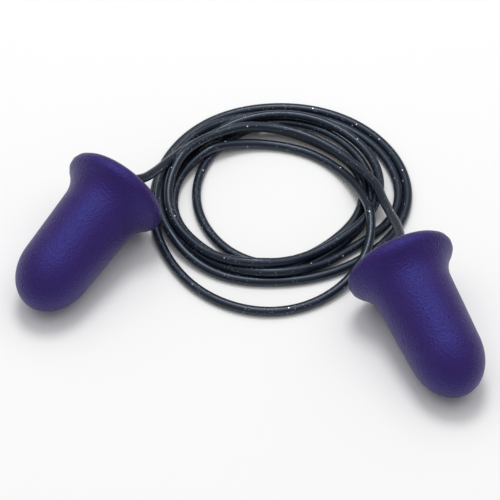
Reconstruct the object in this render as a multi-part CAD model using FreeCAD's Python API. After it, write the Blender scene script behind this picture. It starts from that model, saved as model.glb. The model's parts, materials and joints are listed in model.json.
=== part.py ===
"""A corded pair of bell-shaped foam ear plugs, at rest on a table.

Each plug is soft moulded foam with a flared base.  A blind bore up the middle of the base holds a
small steel ball, then glue, then one end of the cord.  One long cord joins the two plugs.  Most
of it lies wound in a loose flat coil behind them.

Units are millimetres, +Z is up and +Y runs away from the noses of the plugs.  The origin is on
the table, under the middle of the box around the two plugs.
"""
import FreeCAD
import Part
import math
import os

# ---- the foam plug, measured along its own axis from the base towards the nose ----
plug_length = 23.3
flare_radius = 7.9
lip_thickness = 2.9        # the flare's edge is a half-round this thick
flare_blend_radius = 5.2   # hollow curve that runs from the edge of the flare into the body
body_radius = 5.7          # where the flare has run out
nose_radius = 5.35         # where the dome of the nose starts
dome_length = 6.95

# ---- what the plug holds ----
bore_radius = 1.0
bore_depth = 10.0          # to the bottom of its round end
ball_radius = 1.0
glue_depth = 7.6           # the glue fills the bore from the base to this depth
cord_end_depth = 6.5       # how far the cord goes into the glue

# ---- the cord ----
cord_diameter = 1.4
cord_radius = cord_diameter / 2

# ---- where the plugs lie: middle of the base, and the heading of the nose from +X ----
left_base = (-18.54, 15.59)
left_heading = 236.2
right_base = (21.4, 1.95)
right_heading = 293.4

# ---- the coil: its middle, and how far each turn lies from it ----
# Each row is one turn.  It has a reach for every 30 degrees, going round clockwise as seen from
# above and starting at the left.  The cord joins the first turn one place after the left, and
# leaves the last one at the right.
coil_middle = (4.1, 17.05)
coil_height = 4.9
coil_outer_bevel = 2.8     # the outermost turn lies on the table, under the edge of a flare
coil_inner_bevel = 1.2     # the turns pile up less at the inner edge too
directions = 12
start_direction = 1
turn_reaches = [
    [17.1, 16.0, 15.7, 14.5, 14.7, 12.7, 10.5, 9.9, 10.5, 10.4, 10.5],
    [11.4, 13.1, 15.3, 17.6, 17.2, 15.9, 14.1, 11.9, 11.4, 12.0, 11.9, 13.2],
    [15.3, 15.4, 14.0, 12.7, 12.3, 12.4, 13.4, 15.9, 17.8, 19.3, 19.1, 18.2],
    [18.1, 19.1, 20.2, 20.5, 21.1, 21.0, 19.7, 16.3, 14.2, 13.5, 14.6, 15.8],
    [17.3, 17.8, 18.8, 19.0, 19.6, 19.7, 18.4, 13.5, 12.7, 12.8, 13.4, 14.6],
    [16.6, 16.9, 17.4, 17.9, 18.0, 17.5, 14.9, 11.9, 10.9, 11.8, 13.0, 14.3],
    [16.0, 16.1, 15.2, 14.8, 14.0, 14.1, 16.0],
]

# ---- the two free stretches, from the base of each plug to where the cord lies on the coil ----
left_route = [
    (-18.54, 15.59, 8.05), (-17.5, 16.5, 8.0), (-16.3, 17.3, 7.6), (-15.1, 18.4, 6.8),
    (-14.0, 20.0, 5.8), (-13.0, 21.7, 4.9), (-12.0, 23.5, 4.1),
]
right_route = [
    (21.4, 1.95, 8.05), (21.45, 3.35, 8.15), (21.8, 4.85, 8.0), (22.1, 6.4, 7.5), (22.0, 8.2, 6.8),
    (21.65, 10.1, 6.1), (21.15, 12.1, 5.25), (20.6, 14.45, 4.35), (19.9, 17.05, 3.6),
]


def support_height(tilt):
    """Height of the axis at the base when the flare's edge rests on the table."""
    edge = lip_thickness / 2
    return edge * math.sin(tilt) + (flare_radius - edge) * math.cos(tilt) + edge


def nose_reach(tilt):
    """How far the dome of the nose hangs below the axis at the base."""
    dome_start = plug_length - dome_length
    dome = math.hypot(dome_length * math.sin(tilt), nose_radius * math.cos(tilt))
    return dome_start * math.sin(tilt) + dome


def resting_tilt():
    """The tilt at which the flare's edge and the nose touch the table together."""
    low, high = 0.0, math.radians(30)
    for _ in range(60):
        middle = (low + high) / 2
        if nose_reach(middle) < support_height(middle):
            low = middle
        else:
            high = middle
    return low


def plug_profile():
    """Half outline of the foam, in the XY plane, with the plug's axis along +X."""
    edge = lip_thickness / 2
    lip_x, lip_y = edge, flare_radius - edge
    blend_y = body_radius + flare_blend_radius
    blend_x = lip_x + math.sqrt((edge + flare_blend_radius) ** 2 - (blend_y - lip_y) ** 2)
    share = edge / (edge + flare_blend_radius)
    meet = (lip_x + (blend_x - lip_x) * share, lip_y + (blend_y - lip_y) * share)
    lean = math.atan2(meet[1] - blend_y, meet[0] - blend_x)
    halfway = (lean - math.pi / 2) / 2
    dome_start = plug_length - dome_length

    def point(x, y):
        return FreeCAD.Vector(x, y, 0)

    blend_middle = point(blend_x + flare_blend_radius * math.cos(halfway),
                         blend_y + flare_blend_radius * math.sin(halfway))
    dome = Part.Ellipse(point(plug_length, 0), point(dome_start, nose_radius), point(dome_start, 0))
    return Part.Wire([
        Part.LineSegment(point(0, 0), point(0, lip_y)).toShape(),
        Part.Arc(point(0, lip_y), point(lip_x, flare_radius), point(*meet)).toShape(),
        Part.Arc(point(*meet), blend_middle, point(blend_x, body_radius)).toShape(),
        Part.LineSegment(point(blend_x, body_radius), point(dome_start, nose_radius)).toShape(),
        dome.toShape(0, math.pi / 2),
        Part.LineSegment(point(plug_length, 0), point(0, 0)).toShape(),
    ])


def along_axis(radius, start, end):
    """A round bar on the plug's axis."""
    return Part.makeCylinder(radius, end - start, FreeCAD.Vector(start, 0, 0), FreeCAD.Vector(1, 0, 0))


def ball():
    """The steel ball, at the round bottom of the bore."""
    return Part.makeSphere(ball_radius, FreeCAD.Vector(bore_depth - ball_radius, 0, 0))


def foam():
    """The foam body with its blind, round-bottomed bore."""
    body = Part.Face(plug_profile()).revolve(FreeCAD.Vector(0, 0, 0), FreeCAD.Vector(1, 0, 0), 360)
    bore = along_axis(bore_radius, -1, bore_depth - bore_radius)
    bottom = Part.makeSphere(bore_radius, FreeCAD.Vector(bore_depth - bore_radius, 0, 0))
    return body.cut(bore.fuse(bottom)).Solids[0]


def glue():
    """The glue: a sleeve round the cord's end, closed at its inner end."""
    return along_axis(bore_radius, 0, glue_depth).cut(along_axis(cord_radius, -1, cord_end_depth)).Solids[0]


def cord_end():
    """The glued end of the cord."""
    return along_axis(cord_radius, 0, cord_end_depth)


def plug_place(base, heading):
    """Lays a shape that is modelled along +X down on the table as a plug lies."""
    tilt = resting_tilt()
    turn = FreeCAD.Rotation(FreeCAD.Vector(0, 0, 1), heading)
    lean = FreeCAD.Rotation(FreeCAD.Vector(0, 1, 0), math.degrees(tilt))
    return FreeCAD.Placement(FreeCAD.Vector(base[0], base[1], support_height(tilt)), turn.multiply(lean))


def tube(route, name):
    """A round tube along straight runs joined by tangent arcs, as large as the runs allow."""
    points = [FreeCAD.Vector(*p) for p in route]
    edges = []
    radii = []
    last = points[0]
    for before, corner, after in zip(points, points[1:], points[2:]):
        back = (before - corner)
        ahead = (after - corner)
        shorter = min(back.Length, ahead.Length)
        half_turn = (math.pi - back.getAngle(ahead)) / 2
        radius = 0.45 * shorter / math.tan(half_turn)
        radii.append(radius)
        start = corner + back.normalize() * (0.45 * shorter)
        end = corner + ahead.normalize() * (0.45 * shorter)
        inward = (start + end) * 0.5 - corner
        middle = corner + inward.normalize() * (radius / math.cos(half_turn) - radius)
        edges.append(Part.LineSegment(last, start).toShape())
        edges.append(Part.Arc(start, middle, end).toShape())
        last = end
    edges.append(Part.LineSegment(last, points[-1]).toShape())
    path = Part.Wire(edges)
    section = Part.Wire(Part.makeCircle(cord_radius, points[0], points[1] - points[0]))
    solid = path.makePipeShell([section], True, True)
    expected = math.pi * cord_radius ** 2 * path.Length
    print(name, "length %.1f" % path.Length, "volume / (section x length) %.4f" % (solid.Volume / expected))
    print(name, "radii in diameters", ["%.1f" % (r / cord_diameter) for r in radii])
    return solid


def reach_along_cord(steps_per_turn):
    """The reach of the cord's middle line at even steps all along the turns."""
    chosen = [reach for turn in turn_reaches for reach in turn]
    count = int((len(chosen) - 1) * steps_per_turn / directions) + 1
    reaches = []
    for step in range(count):
        where = step * directions / steps_per_turn
        index = min(int(where), len(chosen) - 2)
        share = where - index
        before = chosen[max(index - 1, 0)]
        here, after = chosen[index], chosen[index + 1]
        beyond = chosen[min(index + 2, len(chosen) - 1)]
        bend = 2 * here - 2 * after + (after - before) / 2 + (beyond - here) / 2
        slope = (after - before) / 2
        reaches.append(here + slope * share + (3 * (after - here) - 2 * slope
                       - (beyond - here) / 2) * share ** 2 + bend * share ** 3)
    return reaches


def coil():
    """One closed ring of the outer shape of all the turns together."""
    steps = 2 * directions
    reaches = reach_along_cord(steps)
    inner, outer = [], []
    for step in range(steps):
        here = reaches[step::steps]
        angle = math.pi - 2 * math.pi * (step / steps + start_direction / directions)
        for edge, reach in ((inner, min(here) - cord_radius), (outer, max(here) + cord_radius)):
            edge.append(FreeCAD.Vector(coil_middle[0] + reach * math.cos(angle),
                                       coil_middle[1] + reach * math.sin(angle), 0))
    outlines = []
    for edge in (outer, inner):
        curve = Part.BSplineCurve()
        curve.interpolate(Points=edge, PeriodicFlag=True)
        outlines.append(Part.Face(Part.Wire(curve.toShape())))
    ring = outlines[0].cut(outlines[1]).Faces[0].extrude(FreeCAD.Vector(0, 0, coil_height))
    for bevel, pick in ((coil_outer_bevel, max), (coil_inner_bevel, min)):
        rims = [edge for edge in ring.Edges if edge.BoundBox.ZMin > coil_height * 0.9]
        ring = ring.makeChamfer(bevel, [pick(rims, key=lambda edge: edge.BoundBox.XLength)])
    return ring.Solids[0]


def cord_length():
    """Length of the cord's middle line on the coil, laid flat."""
    steps = 72
    reaches = reach_along_cord(steps)
    total = 0.0
    for step in range(len(reaches) - 1):
        here, after = reaches[step], reaches[step + 1]
        mean = (here + after) / 2
        total += math.hypot(mean * 2 * math.pi / steps, after - here)
    return total


def build():
    nodes = {}
    for side, base, heading in (("left", left_base, left_heading),
                                ("right", right_base, right_heading)):
        place = plug_place(base, heading)
        pieces = {"foam_plug": foam(), "glue": glue(), "detection_ball": ball(), "cord_end": cord_end()}
        for name, shape in pieces.items():
            shape.Placement = place.multiply(shape.Placement)
            nodes[name + "_" + side] = shape
    nodes["cord_lead_left"] = tube(left_route, "cord_lead_left")
    nodes["cord_lead_right"] = tube(right_route, "cord_lead_right")
    nodes["cord_coil"] = coil()
    return nodes


def main():
    os.makedirs("parts", exist_ok=True)
    nodes = build()
    print("tilt %.2f" % math.degrees(resting_tilt()), "height of base %.3f" % support_height(resting_tilt()))
    print("cord on the coil %.0f" % cord_length())
    both = FreeCAD.BoundBox()
    for name, shape in nodes.items():
        box = shape.optimalBoundingBox(True, False)
        print("%-22s %-9s valid %s solids %d volume %.1f" % (
            name, shape.ShapeType, shape.isValid(), len(shape.Solids), shape.Volume))
        if name.startswith("foam"):
            both.add(box)
        shape.exportStep("parts/" + name + ".step")
    print("box around the plugs: middle %.3f %.3f, bottom %.3f, size %.2f %.2f %.2f" % (
        both.Center.x, both.Center.y, both.ZMin, both.XLength, both.YLength, both.ZLength))


main()
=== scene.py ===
# %% [markdown]
# A corded pair of foam ear plugs, at rest on a table.
# The imported model comes first.  It says where each plug sits, and it holds the glue and the steel
# balls.

# %% Load the frame
import json
import math
import random

import bpy
import numpy as np
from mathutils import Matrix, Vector


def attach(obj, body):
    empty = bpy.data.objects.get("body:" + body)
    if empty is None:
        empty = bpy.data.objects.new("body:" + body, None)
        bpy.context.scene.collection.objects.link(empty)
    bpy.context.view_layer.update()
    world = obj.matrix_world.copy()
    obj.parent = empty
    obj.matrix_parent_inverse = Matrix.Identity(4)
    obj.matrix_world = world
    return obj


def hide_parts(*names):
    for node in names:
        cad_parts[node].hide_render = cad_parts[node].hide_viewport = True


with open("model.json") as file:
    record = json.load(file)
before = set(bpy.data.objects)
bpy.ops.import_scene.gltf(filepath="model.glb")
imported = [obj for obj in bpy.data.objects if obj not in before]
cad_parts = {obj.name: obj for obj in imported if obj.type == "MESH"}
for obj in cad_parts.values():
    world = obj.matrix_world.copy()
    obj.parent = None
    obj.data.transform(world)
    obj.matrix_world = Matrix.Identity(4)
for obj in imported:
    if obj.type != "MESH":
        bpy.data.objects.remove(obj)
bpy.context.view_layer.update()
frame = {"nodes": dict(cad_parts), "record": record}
MM = 0.001
print("frame holds", sorted(frame["nodes"]))

# %% [markdown]
# The camera looks down on the pair from in front, a little more than halfway up to overhead. A
# long lens from 400 mm away keeps the two plugs nearly the same size, as in a catalogue picture.

# %% The camera
VIEW_CENTRE = Vector((0.37, 9.92, 0.0)) * MM
VIEW_HEIGHT_ANGLE = math.radians(51)
VIEW_DISTANCE = 400 * MM
LENS = 195.3
FILM_WIDTH = 36
NEAREST_SEEN = 0.01
away = Vector((0, -math.cos(VIEW_HEIGHT_ANGLE), math.sin(VIEW_HEIGHT_ANGLE)))
lens = bpy.data.cameras.new("camera")
lens.lens = LENS
lens.sensor_width = FILM_WIDTH
lens.clip_start = NEAREST_SEEN
camera = bpy.data.objects.new("camera", lens)
bpy.context.collection.objects.link(camera)
camera.location = VIEW_CENTRE + away * VIEW_DISTANCE
camera.rotation_euler = (-away).to_track_quat("-Z", "Y").to_euler()
bpy.context.scene.camera = camera
print("camera at", [round(v, 4) for v in camera.location])

# %% [markdown]
# Shader maths reads best as plain expressions.  The small class below wraps one output socket,
# so that mask * 2 or 1 - mask adds the Math node for it.  Every other node comes from add(), which
# takes the node's type, its settings and the values or links of its sockets.

# %% Shader helpers


class Value:
    """One number that varies over a surface."""

    def __init__(self, tree, socket):
        self.tree = tree
        self.socket = socket

    def math(self, operation, *others, swap=False):
        values = list(others) + [self] if swap else [self] + list(others)
        node = self.tree.nodes.new("ShaderNodeMath")
        node.operation = operation
        for slot, value in zip(node.inputs, values):
            if isinstance(value, Value):
                self.tree.links.new(value.socket, slot)
            else:
                slot.default_value = value
        return Value(self.tree, node.outputs[0])

    def __add__(self, other):
        return self.math("ADD", other)

    def __radd__(self, other):
        return self.math("ADD", other, swap=True)

    def __sub__(self, other):
        return self.math("SUBTRACT", other)

    def __rsub__(self, other):
        return self.math("SUBTRACT", other, swap=True)

    def __mul__(self, other):
        return self.math("MULTIPLY", other)

    def __rmul__(self, other):
        return self.math("MULTIPLY", other, swap=True)

    def __gt__(self, other):
        return self.math("GREATER_THAN", other)

    def __lt__(self, other):
        return self.math("LESS_THAN", other)


class Finish:
    """One procedural material, built on a single Principled shader."""

    def __init__(self, name, **constants):
        self.material = bpy.data.materials.new(name)
        self.material.use_nodes = True
        self.tree = self.material.node_tree
        self.shader = self.tree.nodes["Principled BSDF"]
        for socket, value in constants.items():
            self.shader.inputs[socket.replace("_", " ")].default_value = value

    def add(self, kind, settings=None, inputs=None, output=0):
        node = self.tree.nodes.new(kind)
        for name, value in (settings or {}).items():
            setattr(node, name, value)
        for name, value in (inputs or {}).items():
            if isinstance(value, Value):
                self.tree.links.new(value.socket, node.inputs[name])
            else:
                node.inputs[name].default_value = value
        return Value(self.tree, node.outputs[output])

    def feed(self, socket, value):
        self.tree.links.new(value.socket, self.shader.inputs[socket])

    def blend(self, share, low, high):
        """A colour that runs from low to high as share goes from 0 to 1."""
        return self.add("ShaderNodeMix", {"data_type": "RGBA"},
                        {"Factor": share, 6: low, 7: high}, output=2)

    def place(self):
        return self.add("ShaderNodeTexCoord", output="Object")

    def noise(self, where, scale, detail):
        """Soft noise from 0 to 1.  A larger scale makes it finer."""
        return self.add("ShaderNodeTexNoise", None,
                        {"Vector": where, "Scale": scale, "Detail": detail})

    def chips(self, where, scale, size, share):
        """A mask of small round spots, kept in a share of a Voronoi pattern's cells."""
        pattern = {"Vector": where, "Scale": scale}
        reach = self.add("ShaderNodeTexVoronoi", None, pattern)
        pick = self.add("ShaderNodeTexVoronoi", None, pattern, output="Color")
        luck = self.add("ShaderNodeSeparateColor", None, {"Color": pick})
        return (reach < size) * (luck > 1 - share)

    def relief(self, height, distance, strength):
        """A bump in the surface, whose distance is in metres."""
        return self.add("ShaderNodeBump", None,
                        {"Strength": strength, "Distance": distance, "Height": height})


print("shader helpers ready")

# %% [markdown]
# The cord is one piece from plug to plug: 1.4 mm of soft vinyl.  Its middle line is a curve, which
# is easy to lay and to measure.  The two free stretches are a few points each.  They repeat the CAD
# model's route, but four points of the left one are moved by up to 0.3 mm, so that it lies a
# little lower where it comes out from behind the flare.
# The coil repeats the CAD model's table too: the reach of each turn from the coil's middle in
# twelve directions.  Each of those has a layer here, which says what the turn lies on.

# %% The cord's route
CORD_DIAMETER = 1.4
CORD_RADIUS = CORD_DIAMETER / 2
COIL_MIDDLE = (4.1, 17.05)
DIRECTIONS = 12
START_DIRECTION = 1
TURN_REACHES = [
    [17.1, 16.0, 15.7, 14.5, 14.7, 12.7, 10.5, 9.9, 10.5, 10.4, 10.5],
    [11.4, 13.1, 15.3, 17.6, 17.2, 15.9, 14.1, 11.9, 11.4, 12.0, 11.9, 13.2],
    [15.3, 15.4, 14.0, 12.7, 12.3, 12.4, 13.4, 15.9, 17.8, 19.3, 19.1, 18.2],
    [18.1, 19.1, 20.2, 20.5, 21.1, 21.0, 19.7, 16.3, 14.2, 13.5, 14.6, 15.8],
    [17.3, 17.8, 18.8, 19.0, 19.6, 19.7, 18.4, 13.5, 12.7, 12.8, 13.4, 14.6],
    [16.6, 16.9, 17.4, 17.9, 18.0, 17.5, 14.9, 11.9, 10.9, 11.8, 13.0, 14.3],
    [16.0, 16.1, 15.2, 14.8, 14.0, 14.1, 16.0],
]
TURN_LAYERS = [
    [3, 2, 0, 0, 0, 0, 0, 0, 0, 0, 0],
    [0, 0, 0, 0, 0, 0, 0, 0, 0, 0, 0, 0],
    [0, 0.5, 1, 1, 0, 1, 3, 3, 1, 0, 0, 0],
    [0, 0, 0, 0, 0, 0, 0, 0, 0, 0, 0, 0],
    [1, 1, 0, 0, 0, 0, 0, 0, 0, 1, 0, 0],
    [0, 0, 0, 1, 1, 0, 1, 1, 1, 1, 1, 1],
    [1, 4, 3, 2, 2, 2, 4],
]
LEFT_ROUTE = [
    (-18.54, 15.59, 8.05), (-17.55, 16.55, 8.0), (-16.4, 17.25, 7.4), (-15.15, 18.25, 6.6),
    (-14.0, 19.95, 5.75), (-13.0, 21.7, 4.9), (-12.0, 23.5, 4.1),
]
RIGHT_ROUTE = [
    (21.4, 1.95, 8.05), (21.45, 3.35, 8.15), (21.8, 4.85, 8.0), (22.1, 6.4, 7.5), (22.0, 8.2, 6.8),
    (21.65, 10.1, 6.1), (21.15, 12.1, 5.25), (20.6, 14.45, 4.35), (19.9, 17.05, 3.6),
]


def between(listed, where):
    """A smooth value at a place along a list."""
    index = min(int(where), len(listed) - 2)
    share = where - index
    before = listed[max(index - 1, 0)]
    here, after = listed[index], listed[index + 1]
    beyond = listed[min(index + 2, len(listed) - 1)]
    slope_in, slope_out = (after - before) / 2, (beyond - here) / 2
    square, cube = share ** 2, share ** 3
    return (here + slope_in * share + (3 * (after - here) - 2 * slope_in - slope_out) * square
            + (2 * (here - after) + slope_in + slope_out) * cube)


STEPS = 36
listed_reaches = [reach for turn in TURN_REACHES for reach in turn]
listed_layers = [layer for turn in TURN_LAYERS for layer in turn]
step_count = (len(listed_reaches) - 1) * STEPS // DIRECTIONS
places = [step * DIRECTIONS / STEPS for step in range(step_count)]
goal = np.array([between(listed_reaches, place) for place in places])
layer = np.array([between(listed_layers, place) for place in places])
print("coil has", step_count, "points in", round(step_count / STEPS, 2), "turns")

# %% [markdown]
# A wound cord doesn't pass through itself.  Where two turns would share the same room they push
# each other apart, the lower ones rest on the table and the upper ones on them.  The loop below
# does that for the turns in each direction, while the cord's own stiffness keeps it smooth.  At a
# few steep crossings the turns stay pressed together, by about 0.2 mm at the most.

# %% Let the turns settle


def smooth(values, amount):
    """Eases each value towards the middle of its neighbours, and leaves the two ends."""
    values[1:-1] += amount * (values[:-2] + values[2:] - 2 * values[1:-1]) / 2


def make_room(reach, height):
    """Lifts a turn off those that it lies on, and moves turns of one layer apart."""
    for lag in range(STEPS, len(reach), STEPS):
        across = reach[lag:] - reach[:-lag]
        up = height[lag:] - height[:-lag]
        above = layer[lag:] - layer[:-lag]
        side = np.where(across < 0, -1, 1)
        stacked = np.abs(above) > SAME_LAYER
        lift = np.sqrt(np.maximum(STACK_ROOM ** 2 - across ** 2, 0)) - np.sign(above) * up
        lift = np.where(stacked & (np.abs(across) < STACK_ROOM), np.maximum(lift, 0), 0)
        height[lag:] += np.where(above > 0, lift, 0)
        height[:-lag] += np.where(above < 0, lift, 0)
        push = np.sqrt(np.maximum(SIDE_ROOM ** 2 - up ** 2, 0)) - np.abs(across)
        push = side * np.where(stacked, 0, np.maximum(push, 0)) / 2
        reach[lag:] += push
        reach[:-lag] -= push
    np.maximum(height, CORD_RADIUS, out=height)


SIDE_ROOM = 1.42
STACK_ROOM = 1.5
SAME_LAYER = 0.2
SETTLING_ROUNDS = 150
PULL_BACK = 0.1
REACH_STIFFNESS = 0.1
HEIGHT_STIFFNESS = 0.5
SINK = 0.03
reach = goal.copy()
height = np.full(step_count, CORD_RADIUS)
for _ in range(SETTLING_ROUNDS):
    reach += PULL_BACK * (goal - reach)
    smooth(reach, REACH_STIFFNESS)
    height -= SINK
    smooth(height, HEIGHT_STIFFNESS)
    make_room(reach, height)
print("coil settled, %.2f mm high, turns moved by up to %.2f mm" % (
    height.max() + CORD_RADIUS, np.abs(reach - goal).max()))

# %% [markdown]
# One open spline carries the whole cord: the left free stretch, the turns, then the right free
# stretch.  Its ends go into the plugs along their own axes, where the glue holds them.  A control
# point just inside each mouth keeps the cord straight until it is out of the glue.

# %% The cord
mounts = {mount["name"]: mount for mount in frame["record"]["mounts"]}
PLUG_LENGTH = 23.3 * MM
CORD_END_DEPTH = 6.5 * MM
CORD_BEND_DEPTH = 1.4 * MM
LINE_STEPS = 6


def plug_axis(side):
    """The middle of a plug's base, and the direction of its nose."""
    seat = mounts["ear_seat_" + side]
    axis = Vector(seat["axis"]).normalized()
    return Vector(seat["pos_m"]) - axis * PLUG_LENGTH, axis


def coil_points():
    """The settled turns, from the left free stretch round to the right one."""
    for step in range(step_count):
        angle = math.pi - 2 * math.pi * (step / STEPS + START_DIRECTION / DIRECTIONS)
        yield Vector((COIL_MIDDLE[0] + reach[step] * math.cos(angle),
                      COIL_MIDDLE[1] + reach[step] * math.sin(angle), height[step])) * MM


left_base, left_nose = plug_axis("left")
right_base, right_nose = plug_axis("right")
route = [left_base + left_nose * CORD_END_DEPTH, left_base + left_nose * CORD_BEND_DEPTH]
route += [Vector(point) * MM for point in LEFT_ROUTE]
route += list(coil_points())
route += [Vector(point) * MM for point in reversed(RIGHT_ROUTE)]
route += [right_base + right_nose * CORD_BEND_DEPTH, right_base + right_nose * CORD_END_DEPTH]

line = bpy.data.curves.new("cord_route", "CURVE")
line.dimensions = "3D"
line.resolution_u = LINE_STEPS
spline = line.splines.new("NURBS")
spline.points.add(len(route) - 1)
for point, spot in zip(spline.points, route):
    point.co = (*spot, 1.0)
spline.order_u = 3
spline.use_endpoint_u = True
guide = bpy.data.objects.new("cord_route", line)
bpy.context.collection.objects.link(guide)
line_mesh = bpy.data.meshes.new_from_object(guide)
path = [vertex.co.copy() for vertex in line_mesh.vertices]
cord_length = sum((after - before).length for before, after in zip(path, path[1:]))
bpy.data.objects.remove(guide)
bpy.data.meshes.remove(line_mesh)
print("the cord's middle line is %.3f m long, in %d points" % (cord_length, len(path)))

# %% [markdown]
# The curve could carry a round bevel.  A tube of rings along its points looks the same and lets
# the thickness breathe a little, as extruded vinyl does.  Each ring takes its turn from the ring
# before it, so the tube never twists.

# %% A tube round the line


def tube(name, path, radius, sides):
    """A closed tube of rings round the points of a path."""
    vertices, faces = [], []
    heading = (path[1] - path[0]).normalized()
    side = heading.orthogonal().normalized()
    for index, spot in enumerate(path):
        onward = (path[min(index + 1, len(path) - 1)] - path[max(index - 1, 0)]).normalized()
        side = (side - onward * side.dot(onward)).normalized()
        across = onward.cross(side)
        for step in range(sides):
            turn = 2 * math.pi * step / sides
            outward = side * math.cos(turn) + across * math.sin(turn)
            vertices.append(spot + outward * radius(index))
    for index in range(len(path) - 1):
        for step in range(sides):
            here, there = index * sides, (index + 1) * sides
            after = (step + 1) % sides
            faces.append((here + step, here + after, there + after, there + step))
    faces.append(tuple(reversed(range(sides))))
    faces.append(tuple(range((len(path) - 1) * sides, len(path) * sides)))
    mesh = bpy.data.meshes.new(name)
    mesh.from_pydata(vertices, [], faces)
    mesh.shade_smooth()
    piece = bpy.data.objects.new(name, mesh)
    bpy.context.collection.objects.link(piece)
    return piece


TUBE_SIDES = 20
LEAN_SHARE = 0.99
WAVERS = ((0.006, 0.11), (0.004, 0.037))


def cord_radius(index):
    """The cord's radius, which wavers by one part in a hundred and is never over its full size."""
    waver = sum(size * math.sin(index * pace) for size, pace in WAVERS)
    return CORD_RADIUS * MM * (LEAN_SHARE + waver)


cord = tube("cord", path, cord_radius, TUBE_SIDES)
CORD_NODES = ("cord_end_left", "cord_lead_left", "cord_coil", "cord_lead_right",
              "cord_end_right")
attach(cord, "root")
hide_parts(*CORD_NODES)
print("cord has", len(cord.data.polygons), "faces")

# %% [markdown]
# The vinyl is blue-black and glossy, with pale metal flecks just under its skin.  The flecks are
# cells of a Voronoi pattern: only a few cells are kept, and each one is cut down to a small chip.
# There are two sizes: sparse bright chips, and a finer sparkle that comes in drifts.

# %% Vinyl for the cord
vinyl = Finish("vinyl", IOR=1.5, Specular_IOR_Level=0.55, Specular_Tint=(0.70, 0.84, 1.0, 1))
where = vinyl.place()
cloud = vinyl.noise(where, scale=160.0, detail=3.0)
drift = vinyl.noise(where, scale=300.0, detail=1.0)
DRIFT_EDGE = 0.48
bright = vinyl.chips(where, scale=1500.0, size=0.17, share=0.10)
sparkle = vinyl.chips(where, scale=3600.0, size=0.28, share=0.24) * (drift > DRIFT_EDGE)
dark = vinyl.blend(cloud, (0.005, 0.007, 0.014, 1), (0.013, 0.018, 0.034, 1))
flecked = vinyl.blend(sparkle * 0.6, dark, (0.34, 0.37, 0.42, 1))
vinyl.feed("Base Color", vinyl.blend(bright, flecked, (0.80, 0.82, 0.85, 1)))
vinyl.feed("Metallic", bright * 0.3)
vinyl.feed("Roughness", 0.22 + cloud * 0.16)
ripple = vinyl.noise(where, scale=1100.0, detail=3.0)
vinyl.feed("Normal", vinyl.relief(ripple, distance=0.00005, strength=0.6))
cord.data.materials.append(vinyl.material)
print("vinyl has", len(vinyl.tree.nodes), "nodes")

# %% [markdown]
# Each plug is moulded soft foam: a bullet with a bell-shaped flare at its base and a blind bore
# up the middle.  A lathe is the natural way to make it: one outline, turned about the axis.
# The outline is worked out from a few sizes: the bore, the lip's arc, the hollow arc behind it, a
# taper and an elliptical dome.

# %% The plug's outline
FLARE_RADIUS = 7.9
LIP_THICKNESS = 2.9
BLEND_RADIUS = 5.2
BODY_RADIUS = 5.7
NOSE_RADIUS = 5.35
DOME_LENGTH = 6.95
BORE_RADIUS = 1.0
BORE_DEPTH = 10.0
MOUTH_ROUNDING = 0.2
TAPER_STEPS = 10
DOME_STEPS = 16


def arc(centre, radius, start, end, count):
    """Points round a circle, without the first one."""
    for step in range(1, count + 1):
        angle = start + (end - start) * step / count
        yield centre[0] + radius * math.cos(angle), centre[1] + radius * math.sin(angle)


def plug_outline():
    """Places along the axis and radii, from the bottom of the bore round to the nose."""
    lip = LIP_THICKNESS / 2
    lip_centre = (lip, FLARE_RADIUS - lip)
    blend_y = BODY_RADIUS + BLEND_RADIUS
    blend_x = lip + math.sqrt((lip + BLEND_RADIUS) ** 2 - (blend_y - lip_centre[1]) ** 2)
    lean = math.atan2(lip_centre[1] - blend_y, lip_centre[0] - blend_x)
    dome_start = PLUG_LENGTH / MM - DOME_LENGTH
    bore_end = BORE_DEPTH - BORE_RADIUS
    mouth_centre = (MOUTH_ROUNDING, BORE_RADIUS + MOUTH_ROUNDING)
    outline = [(BORE_DEPTH, 0.0)]
    outline += arc((bore_end, 0), BORE_RADIUS, 0, math.pi / 2, 6)
    outline += [(bore_end - back, BORE_RADIUS) for back in (2, 4, 6, 8, bore_end - MOUTH_ROUNDING)]
    outline += arc(mouth_centre, MOUTH_ROUNDING, -math.pi / 2, -math.pi, 4)
    outline += [(0.0, BORE_RADIUS + out) for out in (1, 2, 3, 4, 5)]
    outline += arc(lip_centre, lip, math.pi, lean - math.pi, 18)
    outline += arc((blend_x, blend_y), BLEND_RADIUS, lean, -math.pi / 2, 12)
    for step in range(1, TAPER_STEPS + 1):
        share = step / TAPER_STEPS
        outline.append((blend_x + (dome_start - blend_x) * share,
                        BODY_RADIUS + (NOSE_RADIUS - BODY_RADIUS) * share))
    for step in range(1, DOME_STEPS + 1):
        angle = math.pi / 2 * step / DOME_STEPS
        outline.append((dome_start + DOME_LENGTH * math.sin(angle),
                        NOSE_RADIUS * math.cos(angle)))
    return outline


outline = plug_outline()
print("outline has", len(outline), "points, longest", round(max(x for x, _ in outline), 2), "mm")

# %% [markdown]
# The lathe turns the outline and lays the plug on its axis.  Moulded foam is never perfectly
# round, so a few slow waves, different on each plug, move the surface by a few hundredths of a
# millimetre.  The right plug's flare is also a little flattened and wide, as a soft lip sets when
# it has been squeezed.  Both fade out near the axis, so the bore stays round.

# %% The foam plugs
ROUND_STEPS = 96
FLARE_RUN = 7.0
WAVE_COUNT = 4
WAVES_ROUND = (2, 3, 4)
WAVE_PHASES = (0, 6.28)
WAVE_PITCHES = (0.1, 0.35)
WAVE_SIZES = (0.01, 0.025)
WAVE_BIAS = 0.3
LIFT_SHARE = 0.5
STEADY_RADIUS = 2
FADE_WIDTH = 4
ON_AXIS = 1e-6


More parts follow.
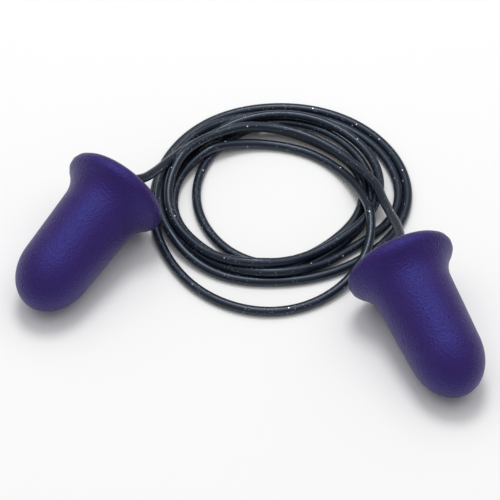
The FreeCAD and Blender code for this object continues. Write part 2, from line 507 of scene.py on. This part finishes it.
def lathe(name, outline, base, axis, seed, oval):
    """One outline turned about an axis, with its slow waves and its oval flare."""
    luck = random.Random(seed)
    waves = [(luck.choice(WAVES_ROUND), luck.uniform(*WAVE_PHASES),
              luck.uniform(*WAVE_PITCHES), luck.uniform(*WAVE_SIZES))
             for _ in range(WAVE_COUNT)]
    side = axis.cross(Vector((0, 0, 1))).normalized()
    up = side.cross(axis)
    vertices, faces = [], []
    for along, radius in outline:
        if radius < ON_AXIS:
            vertices.append(base + axis * along * MM)
            continue
        for step in range(ROUND_STEPS):
            turn = 2 * math.pi * step / ROUND_STEPS
            squeeze = sum(size * (WAVE_BIAS + math.sin(count * turn + phase + along * pitch))
                          for count, phase, pitch, size in waves)
            flare_share = max(1 - along / FLARE_RUN, 0)
            squeeze -= oval * flare_share * (math.cos(2 * turn) - LIFT_SHARE * math.sin(turn))
            here = radius - squeeze * min(max((radius - STEADY_RADIUS) / FADE_WIDTH, 0), 1)
            outward = side * math.cos(turn) + up * math.sin(turn)
            vertices.append(base + (axis * along + outward * here) * MM)
    rings = (len(vertices) - 2) // ROUND_STEPS

    def corner(row, step):
        return 1 + row * ROUND_STEPS + step % ROUND_STEPS

    last = len(vertices) - 1
    for step in range(ROUND_STEPS):
        faces.append((0, corner(0, step), corner(0, step + 1)))
        for row in range(rings - 1):
            faces.append((corner(row, step), corner(row + 1, step),
                          corner(row + 1, step + 1), corner(row, step + 1)))
        faces.append((corner(rings - 1, step + 1), corner(rings - 1, step), last))
    mesh = bpy.data.meshes.new(name)
    mesh.from_pydata(vertices, [], faces)
    mesh.shade_smooth()
    mesh.validate()
    piece = bpy.data.objects.new(name, mesh)
    bpy.context.collection.objects.link(piece)
    return piece


plugs = {}
for side, seed, oval in (("left", 5, 0.0), ("right", 9, 0.3)):
    base, axis = plug_axis(side)
    plug = lathe("foam_" + side, outline, base, axis, seed, oval)
    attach(plug, "root")
    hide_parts("foam_plug_" + side)
    plugs[side] = plug
    print(plug.name, len(plug.data.vertices), "vertices")

# %% [markdown]
# The foam has a thin moulded skin over its cells: indigo, matte and finely pebbled, with a few tiny
# pits, which carry painted shade: they are darkened in the base colour.  Dyed foam throws back a
# blue gleam, so the gleam has a tint, and a little sheen stands for the soft skin catching light at
# the edges.

# %% Foam skin
foam = Finish("foam_skin", IOR=1.48,
              Specular_IOR_Level=0.95, Specular_Tint=(0.10, 0.21, 1.0, 1),
              Sheen_Weight=0.02, Sheen_Roughness=0.35, Sheen_Tint=(0.45, 0.45, 1.0, 1))
where = foam.place()
patch = foam.noise(where, scale=220.0, detail=4.0)
grain = foam.noise(where, scale=5200.0, detail=3.0)
cells = foam.add("ShaderNodeTexVoronoi", {"feature": "SMOOTH_F1"},
                 {"Vector": where, "Scale": 3700.0, "Smoothness": 0.4})
pit = foam.chips(where, scale=700.0, size=0.13, share=0.2)
dye = foam.blend(patch, (0.037, 0.014, 0.094, 1), (0.046, 0.020, 0.130, 1))
mottled = foam.blend(cells * 0.4 + grain * 0.2, dye, (0.028, 0.010, 0.067, 1))
# Painted shade: the pits, dented in the relief below, are also darkened in the base colour.
foam.feed("Base Color", foam.blend(pit * 0.5, mottled, (0.015, 0.008, 0.035, 1)))
foam.feed("Roughness", 0.36 + patch * 0.14)
pebbles = cells + grain * 0.8 - pit * 0.8
foam.feed("Normal", foam.relief(pebbles, distance=0.0001, strength=0.8))
for plug in plugs.values():
    plug.data.materials.append(foam.material)
print("foam skin has", len(foam.tree.nodes), "nodes, on", len(plugs), "plugs")

# %% [markdown]
# Inside each plug lie a drop of set glue and a small steel ball.  Their CAD shapes are already
# right, so they keep them and only get a better finish.

# %% Glue and steel


def dress(node, finish):
    """Gives a CAD node a finish in place of its plain one."""
    mesh = frame["nodes"][node].data
    mesh.materials.clear()
    mesh.materials.append(finish.material)


glue = Finish("set_glue", Roughness=0.2, IOR=1.5)
haze = glue.noise(glue.place(), scale=900.0, detail=3.0)
glue.feed("Base Color", glue.blend(haze, (0.42, 0.38, 0.26, 1), (0.62, 0.58, 0.46, 1)))
glue.feed("Roughness", 0.15 + haze * 0.25)
steel = Finish("ball_steel", Metallic=1.0, Roughness=0.25)
scuff = steel.noise(steel.place(), scale=2500.0, detail=4.0)
steel.feed("Base Color", steel.blend(scuff, (0.42, 0.43, 0.45, 1), (0.66, 0.67, 0.69, 1)))
steel.feed("Roughness", 0.18 + scuff * 0.2)
for side in ("left", "right"):
    dress("glue_" + side, glue)
    dress("detection_ball_" + side, steel)
print("glue and steel have", len(glue.tree.nodes), "and", len(steel.tree.nodes), "nodes")

# %% [markdown]
# A white table and soft studio light.  The light comes in roughly equal parts from a very large
# panel overhead, from pale surroundings, and from a smaller panel behind and above.  The first two
# keep the shadows soft.  The third draws the long gleam along the top of each plug and the bright
# line on the cord.  White paper should look white, so the colours are shown with no film curve.

# %% Stage and light
FLOOR_SIZE = 3.0
WORLD_GLOW = 0.34
WHITE = (1.0, 1.0, 1.0, 1)
PAPER_WHITE = (0.96, 0.96, 0.96, 1)
table = bpy.data.meshes.new("table")
half = FLOOR_SIZE / 2
corners = [(-half, -half, 0), (half, -half, 0), (half, half, 0), (-half, half, 0)]
table.from_pydata(corners, [], [(0, 1, 2, 3)])
floor = bpy.data.objects.new("floor", table)
bpy.context.collection.objects.link(floor)
paper = Finish("white_table", Base_Color=PAPER_WHITE, Roughness=1.0, Specular_IOR_Level=0.0)
floor.data.materials.append(paper.material)


def panel(name, place, size, glow):
    """A round panel that faces the part and glows evenly."""
    light = bpy.data.lights.new(name, "AREA")
    light.shape = "DISK"
    light.size = size
    light.energy = glow * math.pi ** 2 * (size / 2) ** 2
    lamp = bpy.data.objects.new(name, light)
    bpy.context.collection.objects.link(lamp)
    lamp.location = Vector(place)
    lamp.rotation_euler = (VIEW_CENTRE - lamp.location).to_track_quat("-Z", "Y").to_euler()
    print(name, "panel gives %.2f W" % light.energy)


panel("overhead", place=(0.0, 0.15, 0.9), size=1.5, glow=1.0)
panel("key", place=(-0.01, 0.16, 0.48), size=0.18, glow=9.5)
world = bpy.data.worlds.new("studio")
world.use_nodes = True
surroundings = world.node_tree.nodes["Background"]
surroundings.inputs["Color"].default_value = WHITE
surroundings.inputs["Strength"].default_value = WORLD_GLOW
bpy.context.scene.world = world
bpy.context.scene.view_settings.view_transform = "Standard"
